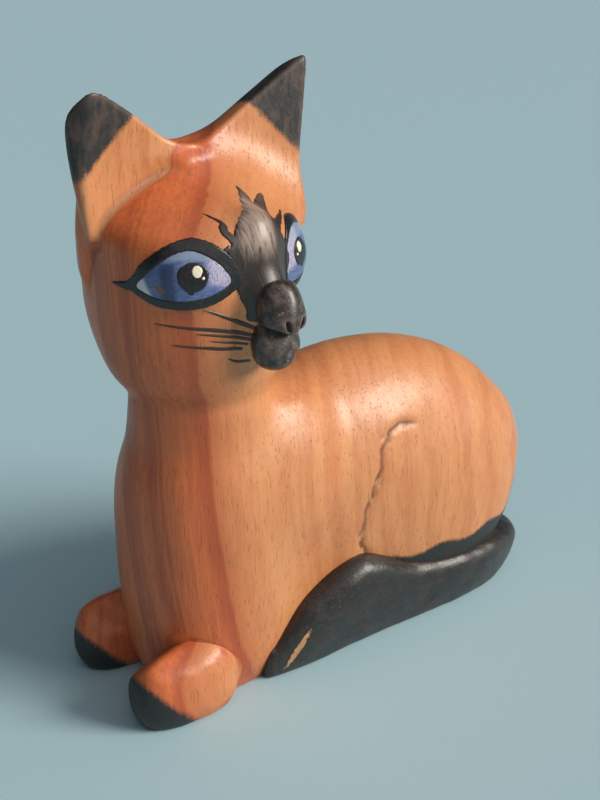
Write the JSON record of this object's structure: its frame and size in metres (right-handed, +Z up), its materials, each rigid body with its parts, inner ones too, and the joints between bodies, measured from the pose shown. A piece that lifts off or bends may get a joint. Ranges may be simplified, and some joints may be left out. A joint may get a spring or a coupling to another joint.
{
  "type": "cat figurine",
  "caption": "Carved and painted wooden cat lying down with its head turned to the side, tall pointed ears, dark paws and a dark tail wrapped along its flank",
  "frame": {"origin": "middle of the flat underside, on the floor, below the body's middle plane", "axes": "+Z up, the chest faces -Y, +X is the cat's left side, which the face looks towards"},
  "size_m": [0.0599, 0.1381, 0.148],
  "materials": {
    "varnished_wood": "warm orange-tan hardwood with red-brown heartwood, satin varnish, dark sprayed ear tips and toes",
    "tail_paint": "black satin paint on carved wood, worn at the edges",
    "nose_paint": "black satin paint on carved wood",
    "eye_blue": "hand-painted blue with pale lilac strokes, varnished",
    "line_black": "black brush line, varnished",
    "catchlight_cream": "dab of cream paint",
    "blaze_umber": "dark grey-brown brushed paint, varnished",
    "whisker_brown": "thin dark brown brush strokes"
  },
  "bodies": {
    "root": {"trunk": "varnished_wood", "head": "varnished_wood", "ear_left": "varnished_wood", "ear_right": "varnished_wood", "forepaw_left": "varnished_wood", "forepaw_right": "varnished_wood", "tail": "tail_paint", "nose": "nose_paint", "muzzle": "nose_paint", "eye_field_left": "eye_blue", "eye_field_right": "eye_blue", "eye_rim_left": "line_black", "eye_rim_right": "line_black", "pupil_left": "line_black", "pupil_right": "line_black", "catchlight_left": "catchlight_cream", "catchlight_right": "catchlight_cream", "blaze": "blaze_umber", "whiskers_left": "whisker_brown", "whiskers_right": "whisker_brown"}
  },
  "joints": []
}
